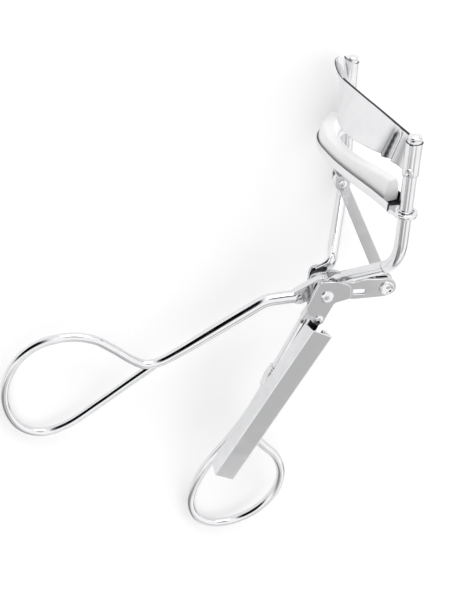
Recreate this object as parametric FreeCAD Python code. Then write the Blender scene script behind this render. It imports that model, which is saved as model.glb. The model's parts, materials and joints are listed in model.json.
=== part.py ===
"""Eyelash curler with a fold-out lash comb, one STEP file for every separate piece.

Working frame, in mm: the main rivet runs along Z through the origin, +Y points up the guide rods
to the fixed upper jaw, +X points away from the finger loops, and +Z is the near side.
The finished pieces are then laid on their far side, as on a table.
"""
import FreeCAD
import Part
import math
import os

V = FreeCAD.Vector

# Guide rods and fixed upper jaw
ROD_DIA = 2.3
ROD_X = 7.8                 # rods stand this far in front of the main rivet
ROD_SPACING = 33.4          # centre to centre
ROD_TOP_Y = 36.0
ROD_BEND_Y = 14.5
ROD_BEND_RADIUS = 3.0
CAP_DIA = 2.0
PLATE_HEIGHT = 5.8
PLATE_THICK = 0.5
PLATE_TOP_SAGITTA = 2.3
SLEEVE_WALL = 0.35          # plate ends rolled round the rods
JAW_SAGITTA = 5.0           # bow of the plate's lower edge and of the moving jaw
JAW_SETBACK = 0.9           # jaw ends meet the rods this far behind their axes
BOW_END_GAP = 2.1           # from the end of the bow to the rod's axis

# Moving jaw and pad
JAW_GAP = 2.3               # pad to plate at rest
JAW_DEPTH = 2.4
JAW_WIDTH = 4.0
JAW_WALL = 0.45
JAW_FLOOR = 0.5
JAW_END_CUT = 0.4           # channel stops short of the bow's end, where the ear starts
PAD_HEIGHT = 4.2
PAD_WIDTH = 3.0
PAD_END_GAP = 0.8
EYELET_WALL = 0.73
EYELET_THICK = 1.2
EAR_WIDTH = 3.6
SLIDE_FIT = 0.07

# Hinge stack, built outward from the middle plane along Z
RIVET_DIA = 1.8
TURN_FIT = 0.06
BLADE_HALF = 0.9            # half thickness of the flattened handle ends
ARM_WALL = 0.6
WASHER_THICK = 0.84
FOOT_THICK = 0.8            # flattened rod ends
CHEEK_THICK = 0.8

# Lever, link and their pins
ARM_PIN = (11.9, -1.0)
LINK_HALF = 0.6
LINK_PIN_DIA = 1.4
LUG_WALL = 0.6
LUG_FOOT = 0.25
PIN_HEAD = 0.35
OPEN_PIN_FIT = 0.3          # clearance at the pin where the linkage loop is opened

# Handles
WIRE_DIA = 2.1
ROOT_DIA = 2.6
UPPER_ROOT = ((-4.4, -1.8), (-10.7, -2.6))
UPPER_V = (-32.1, -14.9)
LOWER_ROOT = (-1.9, -5.7)
LOWER_V = (-13.7, -31.8)
# loop corners (along, outward) from the V where the loop closes, with their bend radii
LOOP = (((8.4, 15.7), 9.0), ((24.6, 15.0), 9.5), ((30.2, -3.5), 5.0))
V_BEND = 6.0

# Comb
COMB_PIN = (-1.2, -4.75)
COMB_PIN_DIA = 1.1
POST_DIA = 2.0
COMB_ANGLE = 27.8           # from straight down toward the upper handle, degrees
CASE_START = 2.5
CASE_LENGTH = 37.0
CASE_WIDTH = 3.9
CASE_ASIDE = 0.75           # the case's middle line passes the comb pin this far toward the front
CASE_DEPTH = 4.9
CASE_WALL = 0.4
CASE_LIFT = 0.3             # case edge above the thickest wire
COMB_STRIP = 0.6
COMB_TEETH = 22
TOOTH_PITCH = 0.9
TOOTH_COVER = 0.9           # teeth stop this far inside the case
CATCH_AT = 14.0             # along the lower handle from its root
CATCH_LENGTH = 2.6
CATCH_WALL = 0.3

# What follows from them
ROD_R = ROD_DIA / 2
ROD_Z = ROD_SPACING / 2
SLEEVE_DIA = ROD_DIA + 2 * SLEEVE_WALL
PLATE_BOTTOM_Y = ROD_TOP_Y - PLATE_HEIGHT
PAD_TOP_Y = PLATE_BOTTOM_Y - JAW_GAP
JAW_FLOOR_Y = PAD_TOP_Y - PAD_HEIGHT
JAW_BOTTOM_Y = JAW_FLOOR_Y - JAW_FLOOR
JAW_RIM_Y = JAW_BOTTOM_Y + JAW_DEPTH
JAW_HALF = ROD_Z - BOW_END_GAP
JAW_END_Z = JAW_HALF - JAW_END_CUT
PAD_END_Z = JAW_END_Z - PAD_END_GAP
BOW_END_X = ROD_X - JAW_SETBACK
BOW_X = BOW_END_X - JAW_SAGITTA
EYELET_DIA = ROD_DIA + 2 * (SLIDE_FIT + EYELET_WALL)
HUB_R = RIVET_DIA / 2 + 1.3
WASHER_IN = BLADE_HALF + ARM_WALL + TURN_FIT
FOOT_IN = WASHER_IN + WASHER_THICK
FOOT_OUT = FOOT_IN + FOOT_THICK
CHEEK_OUT = FOOT_OUT + CHEEK_THICK
ROD_FOOT = (2.7, 4.0, (FOOT_IN + FOOT_OUT) / 2)
LINK_EYE_R = LINK_PIN_DIA / 2 + 0.8
LUG_PIN = (BOW_X + 0.1, JAW_BOTTOM_Y - LINK_EYE_R - 0.6)
LUG_IN = LINK_HALF + 0.15
CASE_LOW = ROOT_DIA / 2 + CASE_LIFT
CASE_HIGH = CASE_LOW + CASE_DEPTH
CATCH_BORE = ROOT_DIA - 0.2


def cylinder(x, y, z0, z1, dia):
    return Part.makeCylinder(dia / 2, z1 - z0, V(x, y, z0), V(0, 0, 1))


def slab(outline, z0, z1):
    """Flat plate between two heights from a closed list of (x, y) corners."""
    wire = Part.makePolygon([V(x, y, z0) for x, y in list(outline) + [outline[0]]])
    return Part.Face(wire).extrude(V(0, 0, z1 - z0))


def strap(a, ra, b, rb, z0, z1):
    """Flat strap with round ends of radius ra at a and rb at b, joined by their common tangents."""
    dx, dy = b[0] - a[0], b[1] - a[1]
    length = math.hypot(dx, dy)
    lean = math.asin((ra - rb) / length)
    base = math.atan2(dy, dx)
    left, right = base + math.pi / 2 - lean, base - math.pi / 2 + lean
    corners = [(a[0] + ra * math.cos(left), a[1] + ra * math.sin(left)),
               (b[0] + rb * math.cos(left), b[1] + rb * math.sin(left)),
               (b[0] + rb * math.cos(right), b[1] + rb * math.sin(right)),
               (a[0] + ra * math.cos(right), a[1] + ra * math.sin(right))]
    body = slab(corners, z0, z1)
    return body.multiFuse([cylinder(*a, z0, z1, 2 * ra), cylinder(*b, z0, z1, 2 * rb)]).removeSplitter()


def rounded_path(points, radii, closed=False):
    """Edges of a polyline whose inner corners are rounded by tangent arcs."""
    count = len(points)
    spans = []
    for i, point in enumerate(points):
        if radii[i] == 0:
            spans.append((point, None, point))
            continue
        back = (points[i - 1] - point).normalize()
        ahead = (points[(i + 1) % count] - point).normalize()
        half = math.acos(max(-1, min(1, back.dot(ahead)))) / 2
        cut = radii[i] / math.tan(half)
        bisector = (back + ahead).normalize()
        middle = point + bisector * (radii[i] / math.sin(half) - radii[i])
        spans.append((point + back * cut, middle, point + ahead * cut))
    edges = []
    for i, (start, middle, end) in enumerate(spans):
        if middle is not None:
            edges.append(Part.Arc(start, middle, end).toShape())
        if i + 1 < count or closed:
            edges.append(Part.makeLine(end, spans[(i + 1) % count][0]))
    return edges


def wire_along(edges, dia):
    """Round wire swept along joined edges."""
    path = Part.Wire(edges)
    start = path.OrderedVertexes[0].Point
    first = path.OrderedEdges[0]
    tangent = first.tangentAt(first.FirstParameter)
    if first.Vertexes[0].Point.distanceToPoint(start) > 1e-6:
        tangent = tangent * -1
    circle = Part.Wire(Part.makeCircle(dia / 2, start, tangent))
    return path.makePipeShell([circle], True, False)


def bow(half, sagitta, x_mid, offset, y):
    """Three-arc bow across Z: round in the middle, flaring out to the rods, offset sideways."""
    radius = (half ** 2 + sagitta ** 2) / (4 * sagitta)
    turn = math.asin(half / 2 / radius)
    mid_r, end_r = radius + offset, radius - offset

    def on_mid(a):
        return V(x_mid + radius - mid_r * math.cos(a), y, mid_r * math.sin(a))

    def on_end(side, a):
        return V(x_mid + sagitta - radius + end_r * math.cos(a), y, side * (half - end_r * math.sin(a)))

    return [Part.Arc(on_end(-1, 0), on_end(-1, turn / 2), on_end(-1, turn)).toShape(),
            Part.Arc(on_mid(-turn), on_mid(0), on_mid(turn)).toShape(),
            Part.Arc(on_end(1, turn), on_end(1, turn / 2), on_end(1, 0)).toShape()]


def bow_band(half, sagitta, x_mid, inner, outer, y):
    """Closed band outline between two offsets of the bow, at height y."""
    front, back = bow(half, sagitta, x_mid, inner, y), bow(half, sagitta, x_mid, outer, y)
    ends = [Part.makeLine(front[0].Vertexes[0].Point, back[0].Vertexes[0].Point),
            Part.makeLine(front[-1].Vertexes[-1].Point, back[-1].Vertexes[-1].Point)]
    return Part.Wire(Part.__sortEdges__(front + back + ends))


def bow_solid(inner, outer, y0, y1, end_z):
    """Jaw band of constant section, trimmed square at both ends."""
    face = Part.Face(bow_band(JAW_HALF, JAW_SAGITTA, BOW_X, inner, outer, y0))
    solid = face.extrude(V(0, y1 - y0, 0))
    return solid.common(Part.makeBox(60, 60, 2 * end_z, V(-20, 0, -end_z)))


def guide_rod(side):
    points = [V(*ROD_FOOT[:2], side * ROD_FOOT[2]), V(ROD_X, ROD_BEND_Y, side * ROD_Z),
              V(ROD_X, ROD_TOP_Y, side * ROD_Z)]
    rod = wire_along(rounded_path(points, (0, ROD_BEND_RADIUS, 0)), ROD_DIA)
    low, high = sorted((side * FOOT_IN, side * FOOT_OUT))
    foot = strap(ROD_FOOT[:2], ROD_R + 0.15, (0, 0), RIVET_DIA / 2 + 1.0, low, high)
    return rod.multiFuse([Part.makeSphere(ROD_R, points[0]), foot]).cut(cylinder(0, 0, low - 1, high + 1, RIVET_DIA))


def rod_cap(side):
    neck = Part.makeCylinder(CAP_DIA / 2 - 0.25, 0.5, V(ROD_X, ROD_TOP_Y, side * ROD_Z), V(0, 1, 0))
    head = Part.makeCylinder(CAP_DIA / 2, 0.8, V(ROD_X, ROD_TOP_Y + 0.5, side * ROD_Z), V(0, 1, 0))
    crown = head.makeFillet(0.35, [e for e in head.Edges if e.BoundBox.YMin > ROD_TOP_Y + 1.2])
    return neck.fuse(crown)


def upper_jaw_plate():
    half = PLATE_THICK / 2
    low = bow_band(JAW_HALF, JAW_SAGITTA, BOW_X, -half, half, PLATE_BOTTOM_Y)
    high = bow_band(JAW_HALF, PLATE_TOP_SAGITTA, BOW_END_X - PLATE_TOP_SAGITTA, -half, half, ROD_TOP_Y)
    body = Part.makeLoft([low, high], True, True)
    flap = BOW_END_GAP - ROD_R + 0.25
    ends = []
    for side in (-1, 1):
        z0 = min(side * JAW_HALF, side * (JAW_HALF + flap))
        ends.append(Part.makeBox(PLATE_THICK, PLATE_HEIGHT, flap, V(BOW_END_X - half, PLATE_BOTTOM_Y, z0)))
        ends.append(Part.makeCylinder(SLEEVE_DIA / 2, PLATE_HEIGHT, V(ROD_X, PLATE_BOTTOM_Y, side * ROD_Z),
                                      V(0, 1, 0)))
    body = body.multiFuse(ends)
    for side in (-1, 1):
        body = body.cut(Part.makeCylinder(ROD_R, 60, V(ROD_X, 0, side * ROD_Z), V(0, 1, 0)))
    return body


def plate_rivet(side):
    """Small dome rivet on the outer side of the sleeve."""
    base = V(ROD_X, PLATE_BOTTOM_Y + 1.4, side * (ROD_Z + SLEEVE_DIA / 2 - 0.1))
    return Part.makeCone(0.6, 0.4, 0.4, base, V(0, 0, side))


def moving_jaw():
    half = JAW_WIDTH / 2
    body = bow_solid(-half, half, JAW_BOTTOM_Y, JAW_RIM_Y, JAW_END_Z)
    trough = bow_solid(-half + JAW_WALL, half - JAW_WALL, JAW_FLOOR_Y, JAW_RIM_Y + 1, JAW_END_Z)
    return body.cut(trough).cut(lug_rivet(-1)).cut(lug_rivet(1))


def lash_pad():
    half = PAD_WIDTH / 2
    body = bow_solid(-half, half, JAW_FLOOR_Y, PAD_TOP_Y - 0.8, PAD_END_Z)
    cap = bow_solid(-half + 0.5, half - 0.5, PAD_TOP_Y - 0.8, PAD_TOP_Y, PAD_END_Z - 0.5)
    shoulder = bow_solid(-half + 0.2, half - 0.2, PAD_TOP_Y - 0.8, PAD_TOP_Y - 0.35, PAD_END_Z - 0.2)
    return body.multiFuse([shoulder, cap])


def eyelet(side):
    """Flat ear at the end of the moving jaw, with the ring that runs on the guide rod."""
    z_in, z_rod = side * JAW_END_Z, side * ROD_Z
    ear_x = BOW_END_X - EAR_WIDTH / 2 + 0.2
    ear = Part.makeBox(EAR_WIDTH, EYELET_THICK, ROD_Z - JAW_END_Z, V(ear_x, JAW_BOTTOM_Y, min(z_in, z_rod)))
    ring = Part.makeCylinder(EYELET_DIA / 2, EYELET_THICK, V(ROD_X, JAW_BOTTOM_Y, z_rod), V(0, 1, 0))
    hole = Part.makeCylinder(ROD_R + SLIDE_FIT, 60, V(ROD_X, 0, z_rod), V(0, 1, 0))
    return ear.fuse(ring).cut(hole).removeSplitter()


def jaw_lug():
    """Stamped clevis under the middle of the moving jaw."""
    x, y = LUG_PIN
    ear_r, top = LINK_PIN_DIA / 2 + 0.6, JAW_BOTTOM_Y
    ears = [strap((x, y), ear_r, (x, top - 0.6), ear_r, *sorted((s * LUG_IN, s * (LUG_IN + LUG_WALL))))
            for s in (-1, 1)]
    trim = Part.makeBox(20, 10, 20, V(x - 10, top, -10))
    base = Part.makeBox(2 * ear_r, LUG_FOOT, 5.2, V(x - ear_r, top - LUG_FOOT, -2.6))
    body = base.multiFuse([ear.cut(trim) for ear in ears])
    for side in (-1, 1):
        body = body.cut(lug_rivet(side))
    return body.cut(cylinder(x, y, -3, 3, LINK_PIN_DIA))


def lug_rivet(side):
    """Rivet that holds the clevis foot to the floor of the moving jaw."""
    foot = V(LUG_PIN[0], JAW_BOTTOM_Y - LUG_FOOT, side * 2.0)
    shank = Part.makeCylinder(0.35, LUG_FOOT + JAW_FLOOR, foot, V(0, 1, 0))
    return shank.fuse(Part.makeCylinder(0.5, 0.15, foot - V(0, 0.15, 0), V(0, 1, 0)))


def link_pin(at, reach):
    """Pin with two low heads."""
    pin = cylinder(*at, -reach, reach, LINK_PIN_DIA)
    heads = [cylinder(*at, *sorted((s * reach, s * (reach + PIN_HEAD))), LINK_PIN_DIA + 0.7) for s in (-1, 1)]
    return pin.multiFuse(heads)


def connecting_link():
    slim = strap(ARM_PIN, 0.95, LUG_PIN, 0.8, -LINK_HALF, LINK_HALF)
    ends = [cylinder(*ARM_PIN, -LINK_HALF, LINK_HALF, 2 * LINK_EYE_R + 0.4),
            cylinder(*LUG_PIN, -LINK_HALF, LINK_HALF, 2 * LINK_EYE_R)]
    body = slim.multiFuse(ends)
    body = body.cut(cylinder(*ARM_PIN, -2, 2, LINK_PIN_DIA + 2 * TURN_FIT))
    return body.cut(cylinder(*LUG_PIN, -2, 2, LINK_PIN_DIA + 2 * OPEN_PIN_FIT)).removeSplitter()


def lever_arm():
    """Channel arm from the main rivet forward to the link pin, clasping the flattened handle end."""
    walls = [strap((0, 0), HUB_R, ARM_PIN, LINK_PIN_DIA / 2 + 0.8, *sorted((s * BLADE_HALF, s * (BLADE_HALF + ARM_WALL))))
             for s in (-1, 1)]
    web = Part.makeBox(4.0, 0.6, 2 * BLADE_HALF, V(4.4, -2.2, -BLADE_HALF))
    body = walls[0].multiFuse([walls[1], web])
    body = body.cut(cylinder(0, 0, -3, 3, RIVET_DIA + 2 * TURN_FIT))
    return body.cut(cylinder(*ARM_PIN, -3, 3, LINK_PIN_DIA))


def taper(a, b, dia_a, dia_b):
    return Part.makeCone(dia_a / 2, dia_b / 2, (b - a).Length, a, b - a)


def handle_wire(root, v_point, side, root_dia):
    """Shank from root to the V, then one wire bent round the finger loop and back to the V."""
    root, vee = V(*root, 0), V(*v_point, 0)
    along = (vee - root).normalize()
    out = V(-along.y, along.x, 0) * side
    corners = [vee + along * u + out * v for (u, v), _ in LOOP]
    edges = rounded_path([root, vee] + corners + [vee + along * 0.9 + out * 0.2],
                         [0, V_BEND] + [radius for _, radius in LOOP] + [0])
    shank, back = edges[0], edges[-1]
    tube = wire_along(edges[1:-1], WIRE_DIA)
    ends = [taper(shank.Vertexes[0].Point, shank.Vertexes[1].Point, root_dia, WIRE_DIA),
            taper(back.Vertexes[0].Point, back.Vertexes[1].Point, WIRE_DIA, WIRE_DIA - 0.2)]
    return tube.multiFuse(ends)


def upper_handle():
    start, elbow = UPPER_ROOT
    wrist = ROOT_DIA - 0.1
    root = [taper(V(*start, 0), V(*elbow, 0), ROOT_DIA, wrist),
            Part.makeSphere(wrist / 2, V(*elbow, 0)), Part.makeSphere(ROOT_DIA / 2, V(*start, 0)),
            strap((0, 0), HUB_R, start, ROOT_DIA / 2 + 0.2, -BLADE_HALF, BLADE_HALF)]
    body = handle_wire(elbow, UPPER_V, -1, wrist).multiFuse(root)
    return body.cut(cylinder(0, 0, -3, 3, RIVET_DIA + 2 * TURN_FIT))


def lower_handle():
    wrist = ROOT_DIA - 0.2
    root = [Part.makeSphere(wrist / 2, V(*LOWER_ROOT, 0)),
            strap(COMB_PIN, 1.1, LOWER_ROOT, 1.3, -BLADE_HALF, BLADE_HALF)]
    body = handle_wire(LOWER_ROOT, LOWER_V, 1, wrist).multiFuse(root)
    for s in (-1, 1):
        body = body.cut(cylinder(*COMB_PIN, *sorted((s * BLADE_HALF, s * 3)), POST_DIA + 0.04))
    return body.cut(cylinder(*COMB_PIN, -3, 3, COMB_PIN_DIA))


def hinge_bracket():
    """Two cheeks joined by a bridge behind the rod feet and a post on the comb pin."""
    outline = [(-1.7, 3.2), (1.7, 3.2), (4.2, 1.9), (4.4, -0.9), (1.6, -1.5), (-0.05, -4.9), (-0.35, -5.9),
               (-1.6, -6.2), (-2.5, -5.4), (-3.4, -3.6), (-3.5, -1.9)]
    cheeks = [slab(outline, *sorted((s * FOOT_OUT, s * CHEEK_OUT))) for s in (-1, 1)]
    bridge = Part.makeBox(1.5, 0.55, 2 * FOOT_OUT, V(-1.7, 2.65, -FOOT_OUT))
    post = cylinder(*COMB_PIN, -FOOT_OUT, -BLADE_HALF, POST_DIA)
    body = cheeks[0].multiFuse([cheeks[1], bridge, post])
    return body.cut(cylinder(*COMB_PIN, -5, 5, COMB_PIN_DIA)).cut(cylinder(0, 0, -5, 5, RIVET_DIA))


def comb_spacer():
    ring = cylinder(*COMB_PIN, BLADE_HALF, FOOT_IN - TURN_FIT, POST_DIA)
    return ring.cut(cylinder(*COMB_PIN, 0, 5, COMB_PIN_DIA))


def main_rivet():
    body = cylinder(0, 0, -CHEEK_OUT, CHEEK_OUT, RIVET_DIA)
    head_r = RIVET_DIA / 2 + 0.8
    heads = [Part.makeCone(head_r, head_r - 0.6, 0.7, V(0, 0, s * CHEEK_OUT), V(0, 0, s)) for s in (-1, 1)]
    return body.multiFuse(heads)


def washer(side):
    low, high = sorted((side * WASHER_IN, side * FOOT_IN))
    return cylinder(0, 0, low, high, RIVET_DIA + 1.8).cut(cylinder(0, 0, low - 1, high + 1, RIVET_DIA))


def comb_pin():
    return cylinder(*COMB_PIN, -CHEEK_OUT, CHEEK_OUT, COMB_PIN_DIA)


def in_comb(shape):
    """Move a shape drawn along -Y from the comb pin into the folded comb's place."""
    shape.rotate(V(0, 0, 0), V(0, 0, 1), -COMB_ANGLE)
    shape.translate(V(*COMB_PIN, 0))
    return shape


def comb_case():
    """Folded channel with a flat tab that turns on the comb pin between post and near cheek."""
    half = CASE_WIDTH / 2
    end = CASE_START + CASE_LENGTH
    outer = Part.makeBox(CASE_WIDTH, CASE_LENGTH, CASE_DEPTH, V(CASE_ASIDE - half, -end, CASE_LOW))
    inner = Part.makeBox(CASE_WIDTH - 2 * CASE_WALL, CASE_LENGTH - 2 * CASE_WALL, CASE_DEPTH,
                         V(CASE_ASIDE - half + CASE_WALL, -end + CASE_WALL, CASE_LOW - CASE_WALL))
    tab_r = COMB_PIN_DIA / 2 + 0.5
    tab = strap((0, 0), tab_r, (0, -CASE_START - 0.2), tab_r, FOOT_IN, FOOT_OUT - 0.1)
    body = outer.cut(inner).fuse(tab)
    return in_comb(body.cut(cylinder(0, 0, 0, 8, COMB_PIN_DIA + 2 * TURN_FIT)))


def comb_teeth():
    """Toothed strip under the roof of the case."""
    width = CASE_WIDTH - 2 * CASE_WALL
    under = CASE_HIGH - CASE_WALL - COMB_STRIP
    tooth = TOOTH_PITCH / 2
    reach = under - CASE_LOW - TOOTH_COVER
    first = CASE_START + 4.0
    length = TOOTH_PITCH * (COMB_TEETH - 1) + tooth
    strip = Part.makeBox(width, length, COMB_STRIP, V(CASE_ASIDE - width / 2, -first - length, under))
    teeth = [Part.makeBox(0.6, tooth, reach, V(CASE_ASIDE - 0.3, -first - TOOTH_PITCH * i - tooth, under - reach))
             for i in range(COMB_TEETH)]
    return in_comb(strip.multiFuse(teeth))


def comb_catch():
    """Clip round the lower handle, with a lip beside the folded comb case."""
    run = (V(*LOWER_V, 0) - V(*LOWER_ROOT, 0)).normalize()
    out = V(-run.y, run.x, 0)
    at = V(*LOWER_ROOT, 0) + run * CATCH_AT
    collar = Part.makeCylinder(CATCH_BORE / 2 + CATCH_WALL, CATCH_LENGTH, at, run)
    collar = collar.cut(Part.makeCylinder(CATCH_BORE / 2, CATCH_LENGTH, at, run))
    face = CASE_ASIDE - CASE_WIDTH / 2 - 1.5
    lip = Part.makeBox(0.5, CATCH_LENGTH, 3.4, V(face - 0.5, 0, -0.5))
    bridge = Part.makeBox(-face - 0.7, CATCH_LENGTH, 0.5, V(face - 0.4, 0, -0.5))
    turned = FreeCAD.Matrix(out.x, run.x, 0, at.x, out.y, run.y, 0, at.y, 0, 0, 1, 0, 0, 0, 0, 1)
    tongue = lip.fuse(bridge).transformGeometry(turned)
    return collar.fuse(tongue.cut(Part.makeCylinder(CATCH_BORE / 2 + 0.1, CATCH_LENGTH, at, run)))


pieces = {
    "near_guide_rod": guide_rod(1), "far_guide_rod": guide_rod(-1),
    "near_rod_cap": rod_cap(1), "far_rod_cap": rod_cap(-1),
    "upper_jaw_plate": upper_jaw_plate(),
    "near_plate_rivet": plate_rivet(1), "far_plate_rivet": plate_rivet(-1),
    "hinge_bracket": hinge_bracket(), "main_rivet": main_rivet(),
    "near_washer": washer(1), "far_washer": washer(-1),
    "comb_spacer": comb_spacer(), "lower_handle": lower_handle(), "comb_catch": comb_catch(), "comb_pin": comb_pin(),
    "upper_handle": upper_handle(), "lever_arm": lever_arm(), "lower_link_pin": link_pin(ARM_PIN, BLADE_HALF + ARM_WALL),
    "connecting_link": connecting_link(),
    "lower_jaw": moving_jaw(), "near_eyelet": eyelet(1), "far_eyelet": eyelet(-1),
    "jaw_lug": jaw_lug(), "near_lug_rivet": lug_rivet(1), "far_lug_rivet": lug_rivet(-1),
    "upper_link_pin": link_pin(LUG_PIN, LUG_IN + LUG_WALL), "lash_pad": lash_pad(),
    "comb_case": comb_case(), "comb_teeth": comb_teeth(),
}


def resting_placement():
    """Turn that sets the far eyelet and the far ends of both loops on one level plane."""
    along_up = (V(*UPPER_V, 0) - V(*UPPER_ROOT[1], 0)).normalize()
    along_low = (V(*LOWER_V, 0) - V(*LOWER_ROOT, 0)).normalize()
    reach, wire = LOOP[-1][0][0] - 2.0, WIRE_DIA / 2
    upper = V(*UPPER_V, -wire) + along_up * reach
    lower = V(*LOWER_V, -wire) + along_low * reach
    ring = V(ROD_X, JAW_BOTTOM_Y + EYELET_THICK / 2, -ROD_Z - EYELET_DIA / 2)
    normal = (lower - upper).cross(ring - upper).normalize()
    if normal.z < 0:
        normal = normal * -1
    return FreeCAD.Placement(V(0, 0, 0), FreeCAD.Rotation(normal, V(0, 0, 1)))


placement = resting_placement()
whole = Part.makeCompound(list(pieces.values()))
whole.transformShape(placement.toMatrix(), True)
box = whole.optimalBoundingBox(False)
placement.Base = V(-(box.XMin + box.XMax) / 2, -(box.YMin + box.YMax) / 2, -box.ZMin)

os.makedirs("parts", exist_ok=True)
for name, shape in pieces.items():
    shape.transformShape(placement.toMatrix(), True)
    shape.exportStep("parts/" + name + ".step")
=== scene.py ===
import bpy, bmesh, json, math
import numpy as np
from mathutils import Matrix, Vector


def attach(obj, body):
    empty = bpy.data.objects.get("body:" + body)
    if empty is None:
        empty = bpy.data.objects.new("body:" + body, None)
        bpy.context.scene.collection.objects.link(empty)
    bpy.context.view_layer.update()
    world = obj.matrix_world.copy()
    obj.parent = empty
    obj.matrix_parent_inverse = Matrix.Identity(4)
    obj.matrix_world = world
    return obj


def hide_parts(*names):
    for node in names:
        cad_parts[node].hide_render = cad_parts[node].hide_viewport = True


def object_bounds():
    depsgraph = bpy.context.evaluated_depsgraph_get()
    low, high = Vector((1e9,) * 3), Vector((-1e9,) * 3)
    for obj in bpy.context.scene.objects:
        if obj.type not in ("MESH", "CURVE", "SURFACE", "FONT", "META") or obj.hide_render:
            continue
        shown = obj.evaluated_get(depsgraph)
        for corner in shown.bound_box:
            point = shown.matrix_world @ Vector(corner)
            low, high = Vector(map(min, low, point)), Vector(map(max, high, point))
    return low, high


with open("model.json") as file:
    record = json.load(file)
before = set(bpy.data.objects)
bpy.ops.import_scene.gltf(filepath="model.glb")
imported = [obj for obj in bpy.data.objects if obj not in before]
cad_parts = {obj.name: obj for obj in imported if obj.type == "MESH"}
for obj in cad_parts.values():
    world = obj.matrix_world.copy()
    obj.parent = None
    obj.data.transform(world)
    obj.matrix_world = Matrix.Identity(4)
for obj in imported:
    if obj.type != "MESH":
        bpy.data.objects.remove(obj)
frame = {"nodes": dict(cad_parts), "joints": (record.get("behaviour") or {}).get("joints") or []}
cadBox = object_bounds()

# the curler's own axes: main rivet at the origin, rods along y, near side along z, in mm
joints = {j["name"]: j for j in frame["joints"]}
axisZ = np.array(joints["handle_pivot"]["axis"], float)
axisY = np.array(joints["jaw_slide"]["axis"], float)
axisX = np.cross(axisY, axisZ)
pivot = np.array(joints["handle_pivot"]["pos_m"], float)
turn = np.stack([axisX, axisY, axisZ])


def toRow(points):  # curler axes in mm to the row frame in metres
    return np.asarray(points, float) @ turn * 0.001 + pivot


# in the curler's axes: place in mm, the directions of the view's right and down, and the lens in mm
cameraPlace = dict(at=(-39.1, 91.8, 131.4), right=(0.987, -0.001, 0.16), down=(-0.093, -0.819, 0.566), lens=35.94)


# looks along the cross product of the view's right and down, which are first made square to each other
def addCamera(s):
    right, down = np.array(s["right"]), np.array(s["down"])
    ahead = np.cross(right, down)
    ahead /= np.linalg.norm(ahead)
    down = np.cross(ahead, right)
    down /= np.linalg.norm(down)
    right = np.cross(down, ahead)
    data = bpy.data.cameras.new("camera")
    data.sensor_fit, data.sensor_height, data.lens = "VERTICAL", 24.0, s["lens"]
    data.clip_start, data.clip_end = 0.005, 20
    eye = bpy.data.objects.new("camera", data)
    bpy.context.scene.collection.objects.link(eye)
    m = np.eye(4)
    m[:3, 0], m[:3, 1], m[:3, 2], m[:3, 3] = right @ turn, -down @ turn, -ahead @ turn, toRow(s["at"])
    eye.matrix_world = Matrix(m.tolist())
    bpy.context.scene.camera = eye


addCamera(cameraPlace)
print("camera placed")


def fromHex(code):  # sRGB hex to linear
    c = [int(code[i:i + 2], 16) / 255 for i in (0, 2, 4)]
    return [v / 12.92 if v <= 0.04045 else ((v + 0.055) / 1.055) ** 2.4 for v in c] + [1.0]


def addNode(tree, kind, settings=None, links=None):  # one node with its settings and links
    node = tree.nodes.new(kind)
    for name, value in (settings or {}).items():
        if isinstance(name, int) or name in node.inputs:
            node.inputs[name].default_value = value
        else:
            setattr(node, name, value)
    for name, source in (links or {}).items():
        tree.links.new(source, node.inputs[name])
    return node


def newMaterial(name):
    m = bpy.data.materials.new(name)
    m.use_nodes = True
    m.node_tree.nodes.clear()
    return m, m.node_tree


def mixedBy(tree, noise, s):  # the look's two colours mixed by a noise
    return addNode(tree, "ShaderNodeMix", {"data_type": "RGBA", 6: fromHex(s["colour"]), 7: fromHex(s["dull"])},
                   {0: noise.outputs["Fac"]}).outputs[2]


# haze patches of about 2.4 mm; scratches of 0.4 mm, wider than real ones so that they show
# the darkest colour is painted: dark reflections beside the plate's creases
nickelLook = dict(colour="ececed", dull="dcdcde", paintedReflection="2c2d30", rough=0.075, hazeScale=420,
                  scratchScale=2600, scratchDepth=0.048)


# bright nickel plate over stamped steel: mirror-like, a little wavy from the buffing, with faint rubbed haze;
# where the attribute of painted reflection is set, the plate is mixed to a dark colour: painted dark reflections beside
# the creases
def nickelPlate(s, name="bright_nickel_plate", paintedReflection=False):
    m, t = newMaterial(name)
    coord = addNode(t, "ShaderNodeTexCoord")
    haze = addNode(t, "ShaderNodeTexNoise", {"Scale": s["hazeScale"], "Detail": 4.0},
                   {"Vector": coord.outputs["Object"]})
    hazeRamp = addNode(t, "ShaderNodeMapRange", {1: 0.35, 2: 0.75, 3: s["rough"], 4: s["rough"] * 2.6},
                       {0: haze.outputs["Fac"]})
    colour = mixedBy(t, haze, s)
    stretch = addNode(t, "ShaderNodeMapping", {"Scale": (1.0, 0.06, 1.0)}, {"Vector": coord.outputs["Object"]})
    scratch = addNode(t, "ShaderNodeTexNoise", {"Scale": s["scratchScale"], "Detail": 2.0},
                      {"Vector": stretch.outputs[0]})
    bump = addNode(t, "ShaderNodeBump", {"Strength": s["scratchDepth"], "Distance": 0.00002},
                   {"Height": scratch.outputs["Fac"]})
    # painted reflection: the attribute mixes the colour towards the dark one
    if paintedReflection:
        mark = addNode(t, "ShaderNodeAttribute", {"attribute_name": "paintedReflection"})
        colour = addNode(t, "ShaderNodeMix", {"data_type": "RGBA", 7: fromHex(s["paintedReflection"])},
                         {0: mark.outputs["Fac"], 6: colour}).outputs[2]
    shader = addNode(t, "ShaderNodeBsdfPrincipled", {"Metallic": 1.0},
                     {"Base Color": colour, "Roughness": hazeRamp.outputs[0], "Normal": bump.outputs[0]})
    addNode(t, "ShaderNodeOutputMaterial", links={"Surface": shader.outputs[0]})
    return m


# grain of 0.7 mm, coarser than real so that it shows
siliconeLook = dict(colour="fafafa", dull="f2f2f2", rough=0.42, grainScale=1500)


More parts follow.
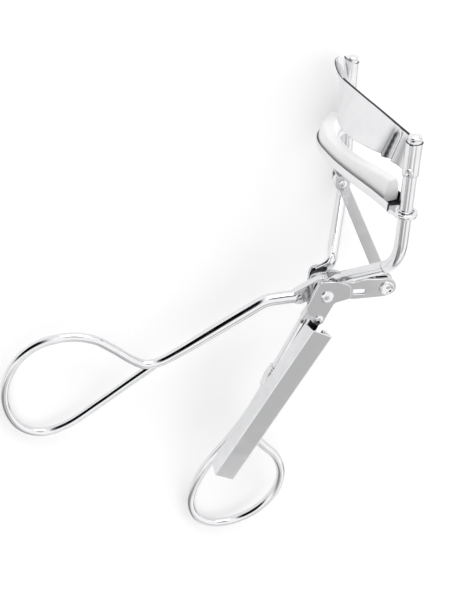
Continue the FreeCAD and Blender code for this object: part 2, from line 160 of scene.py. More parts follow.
# moulded white silicone: soft, slightly translucent, with a fine moulded grain
def whiteSilicone(s):
    m, t = newMaterial("moulded_white_silicone")
    coord = addNode(t, "ShaderNodeTexCoord")
    grain = addNode(t, "ShaderNodeTexNoise", {"Scale": s["grainScale"], "Detail": 3.0},
                    {"Vector": coord.outputs["Object"]})
    bump = addNode(t, "ShaderNodeBump", {"Strength": 0.15, "Distance": 0.00003}, {"Height": grain.outputs["Fac"]})
    shader = addNode(t, "ShaderNodeBsdfPrincipled",
                     {"Roughness": s["rough"], "IOR": 1.41, "Subsurface Weight": 0.3,
                      "Subsurface Radius": (1.0, 1.0, 1.0), "Subsurface Scale": 0.0006},
                     {"Base Color": mixedBy(t, grain, s), "Normal": bump.outputs[0]})
    addNode(t, "ShaderNodeOutputMaterial", links={"Surface": shader.outputs[0]})
    return m


shadeSteelLook = dict(colour="58595c", dull="2b2c2e", rough=0.34, grainScale=1900)  # pits of 0.5 mm


# dark steel with blurred reflections, standing in for shade: painted shade in gaps and recessed insides, and painted
# dark lines along edges
def shadeSteel(s):
    m, t = newMaterial("dark_steel_for_painted_shade")
    coord = addNode(t, "ShaderNodeTexCoord")
    grain = addNode(t, "ShaderNodeTexNoise", {"Scale": s["grainScale"], "Detail": 5.0},
                    {"Vector": coord.outputs["Object"]})
    bump = addNode(t, "ShaderNodeBump", {"Strength": 0.2, "Distance": 0.00003}, {"Height": grain.outputs["Fac"]})
    shader = addNode(t, "ShaderNodeBsdfPrincipled", {"Metallic": 1.0, "Roughness": s["rough"]},
                     {"Base Color": mixedBy(t, grain, s), "Normal": bump.outputs[0]})
    addNode(t, "ShaderNodeOutputMaterial", links={"Surface": shader.outputs[0]})
    return m


brushedLook = dict(colour="d2d3d5", dull="b4b5b8", rough=0.26, strokeScale=5200)  # strokes 0.2 mm wide


# brushed steel of the comb strip: fine strokes along its length that stretch the highlights
def brushedSteel(s):
    m, t = newMaterial("brushed_steel_strip")
    coord = addNode(t, "ShaderNodeTexCoord")
    stretch = addNode(t, "ShaderNodeMapping", {"Scale": (1.0, 0.05, 1.0)}, {"Vector": coord.outputs["Object"]})
    stroke = addNode(t, "ShaderNodeTexNoise", {"Scale": s["strokeScale"], "Detail": 3.0},
                     {"Vector": stretch.outputs[0]})
    bump = addNode(t, "ShaderNodeBump", {"Strength": 0.2, "Distance": 0.00002}, {"Height": stroke.outputs["Fac"]})
    shader = addNode(t, "ShaderNodeBsdfPrincipled", {"Metallic": 1.0, "Roughness": s["rough"]},
                     {"Base Color": mixedBy(t, stroke, s), "Normal": bump.outputs[0]})
    addNode(t, "ShaderNodeOutputMaterial", links={"Surface": shader.outputs[0]})
    return m


nickel, silicone = nickelPlate(nickelLook), whiteSilicone(siliconeLook)
shadeDarkSteel, brushed = shadeSteel(shadeSteelLook), brushedSteel(brushedLook)
# nickel with painted dark reflections beside the creases
reflectionPaintedNickel = nickelPlate(nickelLook, "creased_nickel_plate", paintedReflection=True)
# the washers take the dark steel: painted shade in the gap between the cheek and the handle blade
otherThanNickel = {"lash_pad": silicone, "comb_teeth": brushed, "near_washer": shadeDarkSteel, "far_washer": shadeDarkSteel}
for name, node in frame["nodes"].items():
    node.data.materials.clear()
    node.data.materials.append(otherThanNickel.get(name, nickel))
print("materials made")


# a mesh in curler mm becomes a piece on a body; bevel and sheet are in mm; flat keeps broad faces evenly lit
def addPiece(name, points, faces, body, standsFor=(), material=None, bevel=0, sheet=0, flat=False, sheared=False):
    mesh = bpy.data.meshes.new(name)
    mesh.from_pydata(toRow(points).tolist(), [], [list(map(int, f)) for f in faces])
    work = bmesh.new()
    work.from_mesh(mesh)
    bmesh.ops.remove_doubles(work, verts=work.verts, dist=1e-7)
    bmesh.ops.recalc_face_normals(work, faces=work.faces)
    work.to_mesh(mesh)
    work.free()
    mesh.materials.append(material or nickel)
    mesh.shade_smooth()
    if sheared:  # the cut edges of a flat stamping keep the marks of the die
        mesh.materials.append(brushed)
        normal = np.empty(len(mesh.polygons) * 3)
        mesh.polygons.foreach_get("normal", normal)
        upright = np.abs(normal.reshape(-1, 3) @ turn.T)[:, 2] < 0.3
        mesh.polygons.foreach_set("material_index", upright.astype(np.int32))
    piece = bpy.data.objects.new(name, mesh)
    bpy.context.scene.collection.objects.link(piece)
    if sheet:
        wall = piece.modifiers.new("wall", "SOLIDIFY")
        wall.thickness, wall.offset = sheet * 0.001, 0
        # the sheet's cut rim takes the dark steel: a painted dark line along its edges
        mesh.materials.append(shadeDarkSteel)
        wall.material_offset_rim = 1
    if bevel:
        edge = piece.modifiers.new("edge", "BEVEL")
        edge.width, edge.segments = bevel * 0.001, 3
        edge.limit_method, edge.angle_limit = "ANGLE", math.radians(38)
    if bevel or sheet or flat:
        flow = piece.modifiers.new("flow", "WEIGHTED_NORMAL")
        flow.keep_sharp = False
    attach(piece, body)
    if standsFor:
        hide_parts(*standsFor)
    return piece


# quads between neighbouring rows and columns of a grid that is numbered row by row
def gridFaces(rows, cols, closeRows=False, closeCols=False):
    r = np.arange(rows if closeRows else rows - 1)[:, None]
    c = np.arange(cols if closeCols else cols - 1)[None, :]
    a, b = r * cols + c, r * cols + (c + 1) % cols
    e, d = (r + 1) % rows * cols + (c + 1) % cols, (r + 1) % rows * cols + c
    return np.stack([a, b, e, d], -1).reshape(-1, 4).tolist()


# Catmull-Rom spline: between two points a cubic whose end slopes are half the chords of the neighbours,
# then even steps along its length
def smoothCurve(points, count):
    p = np.asarray(points, float)
    p = np.vstack([2 * p[0] - p[1], p, 2 * p[-1] - p[-2]])
    t = np.linspace(0, 1, 40, endpoint=False)[None, :, None]
    a, b, c, d = (p[i:len(p) - 3 + i, None, :] for i in range(4))
    q = 0.5 * (2 * b + (c - a) * t + (2 * a - 5 * b + 4 * c - d) * t ** 2 + (3 * b - a - 3 * c + d) * t ** 3)
    q = np.vstack([q.reshape(-1, p.shape[1]), p[-2]])
    run = np.concatenate([[0], np.cumsum(np.linalg.norm(np.diff(q, axis=0), axis=1))])
    even = np.linspace(0, run[-1], count)
    return np.stack([np.interp(even, run, q[:, k]) for k in range(p.shape[1])], -1)


# a closed profile (x to the side, y along up) carried along a path and scaled by sizes at each station;
# round ends shrink it along a quarter circle
def carried(path, profile, up, sizes=1.0, roundEnds=False, rounds=7):
    path = np.asarray(path, float)
    sizes = np.asarray(sizes, float).reshape(-1, 1) if np.ndim(sizes) < 2 else sizes
    sizes = np.broadcast_to(sizes, (len(path), 2)).copy()
    tangent = np.gradient(path, axis=0)
    tangent /= np.linalg.norm(tangent, axis=1, keepdims=True)
    if roundEnds:  # 0.97 of a quarter circle leaves a small flat instead of a point
        a = np.linspace(0, 1, rounds + 1)[1:, None] * np.pi / 2 * 0.97
        reach = sizes * np.abs(profile).max(0)
        head = path[:1] - tangent[:1] * np.sin(a) * reach[0].min()
        tail = path[-1:] + tangent[-1:] * np.sin(a) * reach[-1].min()
        sizes = np.vstack([(sizes[:1] * np.cos(a))[::-1], sizes, sizes[-1:] * np.cos(a)])
        path = np.vstack([head[::-1], path, tail])
        tangent = np.pad(tangent, ((rounds, rounds), (0, 0)), "edge")
        if np.ndim(up) == 2:
            up = np.pad(up, ((rounds, rounds), (0, 0)), "edge")
    side = np.cross(tangent, np.broadcast_to(np.asarray(up, float), path.shape))
    side /= np.linalg.norm(side, axis=1, keepdims=True)
    rise = np.cross(side, tangent)
    shape = profile[None] * sizes[:, None]
    grid = path[:, None] + side[:, None] * shape[..., :1] + rise[:, None] * shape[..., 1:]
    n, m = grid.shape[:2]
    ends = [list(range(m))[::-1], list(range((n - 1) * m, n * m))]
    return grid.reshape(-1, 3), gridFaces(n, m, closeCols=True) + ends


# unit circle, or with a power below 1 a squarer superellipse
def roundProfile(count, power=1.0):
    a = np.arange(count) * 2 * np.pi / count
    ring = np.stack([np.cos(a), np.sin(a)], -1)
    return np.sign(ring) * np.abs(ring) ** power


# an outline (distance from the axis, height) spun about an axis through at
def spun(outline, at, axis, count=40):
    outline, axis = np.asarray(outline, float), np.asarray(axis, float)
    axis = axis / np.linalg.norm(axis)
    other = np.array([0, 1.0, 0]) if abs(axis[1]) < 0.9 else np.array([0, 0, 1.0])
    u = np.cross(axis, other)
    u /= np.linalg.norm(u)
    v = np.cross(axis, u)
    a = np.arange(count) * 2 * np.pi / count
    ring = np.cos(a)[:, None] * u + np.sin(a)[:, None] * v
    grid = np.asarray(at) + outline[:, None, :1] * ring[None] + outline[:, None, 1:] * axis
    last = (len(outline) - 1) * count
    ends = [list(range(count)), list(range(last, last + count))]
    return grid.reshape(-1, 3), gridFaces(len(outline), count, closeCols=True) + ends


def joined(*shells):  # several shells as one mesh
    points, faces, start = [], [], 0
    for p, f in shells:
        points.append(p)
        faces += [[i + start for i in face] for face in f]
        start += len(p)
    return np.vstack(points), faces


# round-cornered copy of a closed outline: each corner becomes an arc of a quadratic curve with its two cut points
def softCorners(corners, cut, steps=8):
    p = np.asarray(corners, float)
    cut = np.broadcast_to(np.asarray(cut, float), (len(p),))[:, None]

    def towards(step):
        run = np.roll(p, step, 0) - p
        length = np.linalg.norm(run, axis=1, keepdims=True)
        return p + run / length * np.minimum(cut, length * 0.48)

    a, b = towards(1), towards(-1)
    t = np.linspace(0, 1, steps)[None, :, None]
    return (a[:, None] * (1 - t) ** 2 + 2 * p[:, None] * t * (1 - t) + b[:, None] * t ** 2).reshape(-1, 2)


# outline of a strap with round ends: two arcs joined by their common tangents
def strapOutline(a, ra, b, rb, steps=18):
    a, b = np.asarray(a, float), np.asarray(b, float)
    d = b - a
    base, lean = math.atan2(d[1], d[0]), math.asin((ra - rb) / np.linalg.norm(d))
    end = np.linspace(-math.pi / 2 + lean, math.pi / 2 - lean, steps) + base
    start = np.linspace(math.pi / 2 - lean, 1.5 * math.pi + lean, steps) + base
    return np.vstack([b + rb * np.stack([np.cos(end), np.sin(end)], -1),
                      a + ra * np.stack([np.cos(start), np.sin(start)], -1)])


# flat stamping between two heights: closed outlines, the inner ones as holes, with edges rounded as by the die;
# the outlines lie in the plane of across and along
def stamped(outlines, low, high, edge=0.08, origin=(0, 0, 0), across=(1, 0, 0), along=(0, 1, 0)):
    curve = bpy.data.curves.new("stamping", "CURVE")
    curve.dimensions, curve.fill_mode = "2D", "BOTH"
    curve.extrude, curve.bevel_depth, curve.bevel_resolution = (high - low) / 2 - edge, edge, 2
    curve.offset = -edge
    for line in outlines:
        spline = curve.splines.new("POLY")
        spline.points.add(len(line) - 1)
        spline.points.foreach_set("co", np.column_stack([line, np.zeros(len(line)), np.ones(len(line))]).ravel())
        spline.use_cyclic_u = True
    holder = bpy.data.objects.new("stamping", curve)
    mesh = bpy.data.meshes.new_from_object(holder)
    work = bmesh.new()
    work.from_mesh(mesh)
    # one face for each flat side
    bmesh.ops.dissolve_limit(work, angle_limit=math.radians(0.05), verts=work.verts, edges=work.edges)
    work.to_mesh(mesh)
    work.free()
    flat = np.empty(len(mesh.vertices) * 3)
    mesh.vertices.foreach_get("co", flat)
    flat = flat.reshape(-1, 3)
    faces = [list(f.vertices) for f in mesh.polygons]
    bpy.data.objects.remove(holder)
    bpy.data.curves.remove(curve)
    bpy.data.meshes.remove(mesh)
    across, along = np.asarray(across, float), np.asarray(along, float)
    out = np.cross(across, along)
    height = flat[:, 2:] + (low + high) / 2
    return np.asarray(origin) + flat[:, :1] * across + flat[:, 1:2] * along + height * out, faces


def circle(at, radius, steps=32):  # points evenly round a circle
    a = np.arange(steps) * 2 * np.pi / steps
    return np.asarray(at) + radius * np.stack([np.cos(a), np.sin(a)], -1)


# handles: a round wire, flat over flatEnd mm at its hub and thinner in its finger loop; bends are its line
upperWire = dict(bends=[(0.0, 0.0), (-2.2, -1.1), (-4.4, -1.95), (-7.3, -2.15), (-10.4, -2.5), (-13.6, -4.3),
                        (-20.3, -8.4), (-26.5, -12.2), (-30.2, -14.1), (-32.9, -14.4), (-35.3, -13.1), (-38.7, -10.0),
                        (-42.0, -7.5), (-46.5, -6.4), (-51.9, -7.4), (-56.2, -10.8), (-58.9, -16.0), (-59.4, -21.5),
                        (-57.6, -26.3), (-53.6, -28.4), (-48.5, -27.0), (-41.8, -22.4), (-36.4, -18.4), (-31.6, -14.9)],
                 hub=1.2, flat=0.8, flatEnd=3.2, shank=1.2, loop=0.88, blade=((0, 0), 1.9, (-4.2, -1.9), 1.5),
                 swell=2.4, thinFrom=18, thinOver=22)
lowerWire = dict(bends=[(-1.2, -4.75), (-2.2, -6.4), (-3.6, -9.5), (-6.3, -15.5), (-9.6, -22.7), (-12.9, -29.6),
                        (-17.1, -36.0), (-21.2, -41.6), (-24.0, -47.0), (-25.4, -52.6), (-24.2, -57.6), (-20.6, -60.2),
                        (-15.8, -60.1), (-11.0, -57.6), (-7.3, -53.0), (-6.0, -47.4), (-7.2, -42.4), (-10.0, -38.6),
                        (-12.9, -34.6), (-14.2, -31.6)],
                 hub=1.0, flat=0.8, flatEnd=1.6, shank=1.15, loop=0.96, blade=((-1.2, -4.75), 1.1, (-2.4, -7.0), 1.2),
                 swell=2.4, thinFrom=18, thinOver=22)


# a circle carried along the bends; its radius eases from shank to loop along a smoothstep, and at the hub
# its width and thickness ease to hub and flat; a flat blade lies round the pin
def handleWire(s, count=520):
    path = smoothCurve([(x, y, 0) for x, y in s["bends"]], count)
    run = np.concatenate([[0], np.cumsum(np.linalg.norm(np.diff(path, axis=0), axis=1))])
    ease = np.clip((run - s["flatEnd"]) / s["swell"], 0, 1)
    flatten = 1 - ease * ease * (3 - 2 * ease)
    thin = np.clip((run - s["thinFrom"]) / s["thinOver"], 0, 1)
    radius = s["shank"] + (s["loop"] - s["shank"]) * thin * thin * (3 - 2 * thin)
    wide = radius + (s["hub"] - radius) * flatten
    thick = radius + (s["flat"] - radius) * np.clip(1.6 * flatten, 0, 1)
    wire = carried(path, roundProfile(40), (0, 0, 1), np.stack([wide, thick], -1), roundEnds=True)
    return joined(wire, stamped([strapOutline(*s["blade"])], -s["flat"], s["flat"], 0.15))


addPiece("upperHandleWire", *handleWire(upperWire), "lever", ["upper_handle"], flat=True)
addPiece("lowerHandleWire", *handleWire(lowerWire), "frame", ["lower_handle"], flat=True)
print("handles made")

# guide rods: from the hook between the cheeks, out to the bend, then straight up
rod = dict(radius=1.1, x=7.5, z=16.7, top=35.5, hook=(0.5, 1.1, 2.75), foot=(2.3, 3.1, 2.8), bendAt=14.3,
           bendCut=4.2, flat=0.45, flatOver=4.5, turnOver=8, spread=0.4, farLean=0.55)


# straight from foot to bend, a quadratic curve through the bend, straight up to the cap; flattened at the hook
def guideRod(s, side, count=150):
    hook, foot, top = np.array(s["hook"]), np.array(s["foot"]), np.array([s["x"], s["top"], s["z"]])
    bend = np.array([s["x"] + (s["farLean"] if side < 0 else 0), s["bendAt"], s["z"]])
    lean = (bend - foot) / np.linalg.norm(bend - foot)
    rise = (top - bend) / np.linalg.norm(top - bend)
    a, b = bend - lean * s["bendCut"], bend + rise * s["bendCut"]
    t = np.linspace(0, 1, 24)[:, None]
    curve = a * (1 - t) ** 2 + 2 * bend * t * (1 - t) + b * t ** 2
    line = np.vstack([hook, foot, foot + lean * 3, foot + lean * 7, curve, b + rise * 4, top - rise * 6, top])
    path = smoothCurve(line, count)
    run = np.linalg.norm(path - hook, axis=1)
    flatten = np.clip(1 - run / s["flatOver"], 0, 1)
    sizes = np.stack([s["radius"] * (1 + s["spread"] * flatten),
                      s["radius"] + (s["flat"] - s["radius"]) * flatten], -1)
    swap = np.clip(run / s["turnOver"], 0, 1)[:, None]  # the flat of the hook lies in the cheeks' plane
    up = swap * (1.0, 0, 0) + (1 - swap) * (0, 0, 1.0)
    path[:, 2] *= side
    return carried(path, roundProfile(36), up, sizes, roundEnds=True)


cap = dict(neck=0.75, head=1.08, crown=0.6)


# an outline of neck, collar and low crown spun about the rod
def rodCap(s, side):
    at = (rod["x"], rod["top"], side * rod["z"])
    neck, head = s["neck"], s["head"]
    outline = [(0.02, -0.6), (neck, -0.6), (neck, 0.25), (neck + 0.08, 0.34), (head - 0.1, 0.36), (head, 0.44),
               (head, 0.72), (head - 0.12, 0.86), (s["crown"], 0.95), (0.4, 1.0), (0.02, 1.01)]
    return spun(outline, at, (0, 1, 0))


for side, label in ((1, "near"), (-1, "far")):
    addPiece(label + "GuideRod", *guideRod(rod, side), "frame", [label + "_guide_rod"])
    addPiece(label + "RodCap", *rodCap(cap, side), "frame", [label + "_rod_cap"])
print("rods made")

# upper plate: one sheet, rolled round both rods, its lower edge bowed deeper than its upper edge; each mark is
# the place, width and darkness of a painted dark reflection beside the creases
plate = dict(low=30.2, high=35.4, cornerLift=1.3, liftFrom=9, liftOver=7.5, liftEnds=14, sheet=0.2,
             roll=1.2, rollAngle=325, rollClose=14, creaseAt=10.7,
             creaseLean=1.0, creaseSpread=1.9, creasePitch=2.3, creaseDepth=0.4,
             marks=((-1.1, 0.9, 0.7), (-0.15, 0.2, 0.95), (1.05, 0.3, 1.0), (2.6, 0.9, 0.5)),
             hem=dict(radius=0.21, off=0.147, farGap=38, nearGap=3),  # gaps in points of the edge
             lowLine=[(-15.2, 6.9), (-13.6, 6.3), (-11.6, 5.3), (-8.5, 3.35), (-5.0, 2.1), (-1.0, 1.75), (3.0, 2.2),
                      (6.0, 3.5), (8.8, 4.95), (11.6, 6.0), (14.0, 6.7), (15.2, 7.0)],
             highLine=[(-16.6, 5.9), (-16.3, 4.9), (-15.6, 4.15), (-14.2, 3.8), (-11.8, 3.65), (-8.5, 3.8),
                       (-5.0, 4.3), (0.0, 5.1), (4.0, 5.8), (8.0, 6.45), (11.5, 7.0), (14.0, 7.4), (15.4, 7.5)])


# between its two bowed lines the sheet blends by a power of the height; at each rod it goes on as a ring whose
# radius closes on roll exponentially; the creases are a sine under a bell curve, fading out at the upper edge
def upperPlate(s, spans=150, rows=26, roll=44):
    rise = np.linspace(0, 1, rows)
    low, high = smoothCurve(s["lowLine"], spans), smoothCurve(s["highLine"], spans)
    ease = rise ** 1.15
    sheet = low[None] * (1 - ease[:, None, None]) + high[None] * ease[:, None, None]
    rolls = []
    for side, edge in ((-1, sheet[:, 0]), (1, sheet[:, -1])):
        off = edge - np.array([side * rod["z"], rod["x"]])
        first = np.arctan2(off[:, 1], off[:, 0] * side)
        gap = np.linalg.norm(off, axis=1)
        a = np.linspace(0, 1, roll)[None, :]
        angle = first[:, None] - a * np.deg2rad(s["rollAngle"])
        radius = s["roll"] + (gap[:, None] - s["roll"]) * np.exp(-a * s["rollClose"])
        ring = np.stack([side * (rod["z"] + radius * np.cos(angle)), rod["x"] + radius * np.sin(angle)], -1)
        rolls.append(ring)
    away = sheet[..., 0] - s["creaseAt"] - s["creaseLean"] * rise[:, None]
    crease = np.exp(-(away / s["creaseSpread"]) ** 2) * np.sin(2 * np.pi * away / s["creasePitch"])
    fade = np.clip((1 - rise) * 5, 0, 1)[:, None]
    sheet[..., 1] += s["creaseDepth"] * crease * fade
    # painted dark reflections beside the creases, fading out towards the upper edge
    dark = sum(level * np.exp(-((away - at) / wide) ** 2) for at, wide, level in s["marks"])
    paintedReflection = np.zeros((rows, spans + 2 * roll - 2))
    paintedReflection[:, roll - 1:roll - 1 + spans] = np.clip(dark, 0, 1) * fade
    full = np.concatenate([rolls[0][:, ::-1][:, :-1], sheet, rolls[1][:, 1:]], 1)
    y = s["low"] + (s["high"] - s["low"]) * rise
    # the corner's lift grows with the square of the distance and dies out round the far roll
    onSheet = np.clip(1 - (roll - 1 - np.arange(full.shape[1])) / s["liftEnds"], 0, 1)
    corner = np.clip((-full[..., 0] - s["liftFrom"]) / s["liftOver"], 0, 1) ** 2 * onSheet
    y = y[:, None] + s["cornerLift"] * rise[:, None] * corner
    points = np.stack([full[..., 1], y, full[..., 0]], -1)
    upperEdge = points[-1, roll:roll + spans]
    return points.reshape(-1, 3), gridFaces(rows, full.shape[1]), paintedReflection.ravel(), upperEdge


# a thin rounded hem along the plate's upper edge, short of its ends, in the dark steel: a painted dark line along the
# edge; a circle carried along it
def plateHem(s, upperEdge):
    line = upperEdge[s["farGap"]:-s["nearGap"]] + (s["off"], 0, 0)
    return carried(smoothCurve(line, 90), roundProfile(14), (0, 1, 0), s["radius"], roundEnds=True)


platePoints, plateFaces, paintedReflection, upperEdge = upperPlate(plate)
platePiece = addPiece("upperJawPlate", platePoints, plateFaces, "frame", ["upper_jaw_plate"], material=reflectionPaintedNickel,
                      sheet=plate["sheet"])
# the attribute carries the painted dark reflections to the material
platePiece.data.attributes.new("paintedReflection", "FLOAT", "POINT").data.foreach_set("value", paintedReflection)
# the hem's dark steel paints a dark line along the edge
addPiece("plateHem", *plateHem(plate["hem"], upperEdge), "frame", material=shadeDarkSteel)

plateRivet = dict(radius=0.72, height=30.9, inset=0.75, off=1.05, facing=-0.65)


# shank, rounded edge and a shallow well, spun about a line square to the sleeve
def sleeveRivet(s, side):
    outline = [(s["radius"], -0.3), (s["radius"], 0.05), (0.6, 0.2), (0.35, 0.28), (0.3, 0.12), (0.02, 0.1)]
    at = (rod["x"] - s["inset"], s["height"], side * (rod["z"] + s["off"]))
    return spun(outline, at, (s["facing"], 0, side))


for side, label in ((1, "near"), (-1, "far")):
    addPiece(label + "PlateRivet", *sleeveRivet(plateRivet, side), "frame", [label + "_plate_rivet"])
print("plate made")

# moving jaw: a trough along the bow, with its pad, end ears and rings
jaw = dict(line=[(-15.2, 6.0), (-13.9, 4.5), (-12.0, 3.1), (-9.0, 1.7), (-5.0, 1.05), (0.0, 1.45), (4.0, 2.5),
                 (8.0, 4.2), (11.0, 5.5), (13.6, 6.4), (15.2, 6.8)],
           reach=15.2, low=23.2, lift=1.1, width=4.0, depth=1.5, wall=0.32, corner=0.7)


# trough section: down the outer wall, round both bottom corners, up again and back along the inside
def troughProfile(s, steps=7):
    w, h, t, r = s["width"] / 2, s["depth"], s["wall"], s["corner"]
    a = np.linspace(0, np.pi / 2, steps)
    left = np.stack([-w + r - r * np.cos(a), r - r * np.sin(a)], -1)
    right = np.stack([w - r + r * np.sin(a), r - r * np.cos(a)], -1)
    q = max(r - t, 0.1)
    innerRight = np.stack([w - t - q + q * np.cos(a), t + q - q * np.sin(a)], -1)
    innerLeft = np.stack([-(w - t - q) - q * np.sin(a), t + q - q * np.cos(a)], -1)
    lip = np.linspace(0, np.pi, 6)[1:-1]
    lipRight = np.stack([w - t / 2 + t / 2 * np.cos(lip), h + t / 2 * np.sin(lip)], -1)
    lipLeft = np.stack([-w + t / 2 + t / 2 * np.cos(lip), h + t / 2 * np.sin(lip)], -1)
    return np.vstack([[(-w, h)], left, right, [(w, h)], lipRight,
                      [(w - t, h)], innerRight, innerLeft, [(-w + t, h)], lipLeft])


# the bow seen from above, raised at its middle by a cosine
def bowPath(s, count):
    zx = smoothCurve(s["line"], 600)
    zx = zx[np.abs(zx[:, 0]) <= s["reach"]]
    pick = np.linspace(0, len(zx) - 1, count)
    z, x = (np.interp(pick, np.arange(len(zx)), zx[:, k]) for k in (0, 1))
    y = s["low"] + s["lift"] * (0.5 + 0.5 * np.cos(np.pi * z / s["reach"]))
    return np.stack([x, y, z], -1)


trough = addPiece("lowerJawTrough", *carried(bowPath(jaw, 150), troughProfile(jaw), (0, 1, 0)),
                  "slider", ["lower_jaw"])
# painted shade: the trough's inside takes the dark steel
trough.data.materials.append(shadeDarkSteel)


def faceCentres(mesh):  # in curler mm
    centre = np.empty(len(mesh.polygons) * 3)
    mesh.polygons.foreach_get("center", centre)
    return (centre.reshape(-1, 3) - pivot) @ turn.T * 1000


# inside faces of the trough take the dark steel as painted shade: they lie above its floor and between its walls
def markInside(mesh, s):
    at = faceCentres(mesh)
    middle = bowPath(s, 400)
    near = np.abs(at[:, None, 2] - middle[None, :, 2]).argmin(1)
    slope = np.gradient(middle[:, 0], middle[:, 2])[near]
    off = np.abs(at[:, 0] - middle[near, 0]) / np.sqrt(1 + slope ** 2)
    deep = at[:, 1] - middle[near, 1]
    inside = (off < s["width"] / 2 - s["wall"] * 0.7) & (deep > s["wall"] * 0.6)
    mesh.polygons.foreach_set("material_index", inside.astype(np.int32))


markInside(trough.data, jaw)

pad = dict(width=2.75, farWidth=3.3, widens=(-9, 4), floor=0.4, top=27.5, nearEnd=13.2, farEnd=-13.6, aside=0.1,
           section=[(-1, -1), (1, -1), (1, 0.1), (0.5, 1), (-0.62, 1), (-1, 0.35)],
           soft=[0.15, 0.15, 0.5, 0.3, 0.25, 0.35])


# pad section: upright foot, outer side sloping in to a flat crown with soft edges, then down the inner side
def lashPad(s):
    path = bowPath(jaw, 400)
    path = path[(path[:, 2] < s["nearEnd"]) & (path[:, 2] > s["farEnd"])][::3]
    path[:, 0] += s["aside"]
    base = path[:, 1] + s["floor"]
    half = (s["top"] - base) / 2
    path[:, 1] = base + half
    wide = np.interp(path[:, 2], s["widens"], [s["farWidth"], s["width"]]) / 2
    return carried(path, softCorners(s["section"], s["soft"], 7), (0, 1, 0), np.stack([wide, half], -1))


padPiece = addPiece("lashPad", *lashPad(pad), "slider", ["lash_pad"], material=silicone, bevel=0.35)

eyelet = dict(outer=1.95, inner=1.2, thick=0.85, square=0.6, earThick=0.75,
              ends={"near": 6.8, "far": 6.0})  # where the trough ends across the rods


# a squarish section carried round the rod, with a flat ear that laps under the end of the trough
def jawRing(s, side, label, around=56, section=24):
    o, i, h = s["outer"], s["inner"], s["thick"]
    profile = roundProfile(section, s["square"]) * ((o - i) / 2, h / 2) + ((o + i) / 2, 0)
    b = np.arange(around)[:, None] * 2 * np.pi / around
    ring = np.stack([rod["x"] + profile[:, 0] * np.cos(b), profile[:, 1] + jaw["low"] + h / 2 + 0 * b,
                     side * rod["z"] + profile[:, 0] * np.sin(b)], -1)
    x, z = s["ends"][label], side * jaw["reach"]
    ear = softCorners([(x - 1.9, z - side * 0.5), (x - 1.8, z + side * 0.5),
                       (rod["x"] - 1.3, side * (rod["z"] + 0.9)), (rod["x"] - 0.9, side * (rod["z"] - 0.7)),
                       (x + 1.6, z - side * 0.5)], 0.5)
    flatEar = stamped([ear], -jaw["low"] - s["earThick"], -jaw["low"], 0.08, along=(0, 0, 1))
    return joined((ring.reshape(-1, 3), gridFaces(around, section, True, True)), flatEar)


for side, label in ((1, "near"), (-1, "far")):
    addPiece(label + "Eyelet", *jawRing(eyelet, side, label), "slider", [label + "_eyelet"], flat=True)
print("jaw made")

# link: strap widths and eye radii are given foot first
link = dict(top=(2.0, 21.1), foot=(11.9, -1.0), half=0.6, strap=(1.15, 0.92), eyes=(1.6, 1.35))


def linkBar(s):  # a slim strap with a round eye at each end
    outlines = [strapOutline(s["foot"], s["strap"][0], s["top"], s["strap"][1]),
                circle(s["foot"], s["eyes"][0]), circle(s["top"], s["eyes"][1])]
    return joined(*[stamped([line], -s["half"], s["half"], 0.12) for line in outlines])


addPiece("connectingLink", *linkBar(link), "link", ["connecting_link"], flat=True)

# lever arm: two walls and a web; the near wall has a window, the far wall is cut away behind it
arm = dict(inner=0.92, outer=1.5,
           nearWall=([(-2.0, 1.5), (2.2, 2.3), (5.2, 0.6), (7.6, 1.3), (9.9, 1.0), (12.4, 1.0), (13.8, -0.2),
                      (13.7, -2.1), (12.0, -2.9), (5.6, -2.9), (2.2, -2.3), (-2.0, -1.6)], 1.1),
           window=([(5.6, -0.75), (7.9, -0.9), (7.9, -1.95), (5.6, -1.85)], 0.2, 4),
           farWall=([(-2.0, 1.5), (2.2, 2.3), (5.2, 0.9), (7.6, 1.3), (9.9, 1.0), (12.4, 1.0), (13.8, -0.2),
                     (13.7, -2.1), (12.0, -2.9), (9.0, -2.9), (8.6, -0.3), (4.9, -0.3), (4.6, -2.7), (2.2, -2.3),
                     (-2.0, -1.6)], [1.1] * 9 + [0.4] * 4 + [1.1] * 2),
           web=([(9.1, -2.95), (11.5, -2.9), (11.5, -2.45), (9.1, -2.5)], 0.1, 3))


# outlines with rounded corners stamped from sheet, a wall at each side and the web across
def leverArm(s):
    nearWall, window, farWall, web = (softCorners(*s[part]) for part in ("nearWall", "window", "farWall", "web"))
    return joined(stamped([nearWall, window], s["inner"], s["outer"], 0.1),
                  stamped([farWall], -s["outer"], -s["inner"], 0.1),
                  stamped([web], -s["inner"] - 0.1, s["inner"] + 0.1, 0.05))


addPiece("leverArm", *leverArm(arm), "lever", ["lever_arm"], flat=True, sheared=True)

bracket = dict(inner=3.2, outer=4.0, post=((-1.2, -4.75), 1.0), postEnd=-0.9,
               nearCheek=([(-1.5, 3.2), (1.9, 3.0), (4.3, 1.9), (4.5, -0.9), (1.5, -1.6), (0.1, -4.6),
                           (-0.35, -5.9), (-1.6, -6.3), (-2.6, -5.3), (-3.5, -3.5), (-3.5, -1.6)], 0.55),
               farCheek=([(-1.0, 1.9), (1.0, 1.9), (1.8, 0.8), (1.5, -1.2), (0.1, -4.6), (-0.35, -5.9),
                          (-1.6, -6.2), (-2.3, -5.2), (-2.0, -3.2), (-1.7, -1.0), (-1.6, 1.0)], 0.8))


# two stamped cheeks and the round post that carries the lower handle
def hingeBracket(s):
    return joined(stamped([softCorners(*s["nearCheek"])], s["inner"], s["outer"], 0.14),
                  stamped([softCorners(*s["farCheek"])], -s["outer"], -s["inner"], 0.14),
                  stamped([circle(*s["post"])], -s["inner"], s["postEnd"], 0.05))


addPiece("hingeBracket", *hingeBracket(bracket), "frame", ["hinge_bracket"], flat=True, sheared=True)


mainRivet = dict(at=(0, 0), shank=0.88, head=1.2, reach=bracket["outer"], rise=0.3)
combPin = dict(at=(-1.2, -4.75), shank=0.5, head=0.75, reach=bracket["outer"], rise=0.15)
upperLinkPin = dict(at=link["top"], shank=0.6, head=0.72, reach=1.35, rise=0.08)


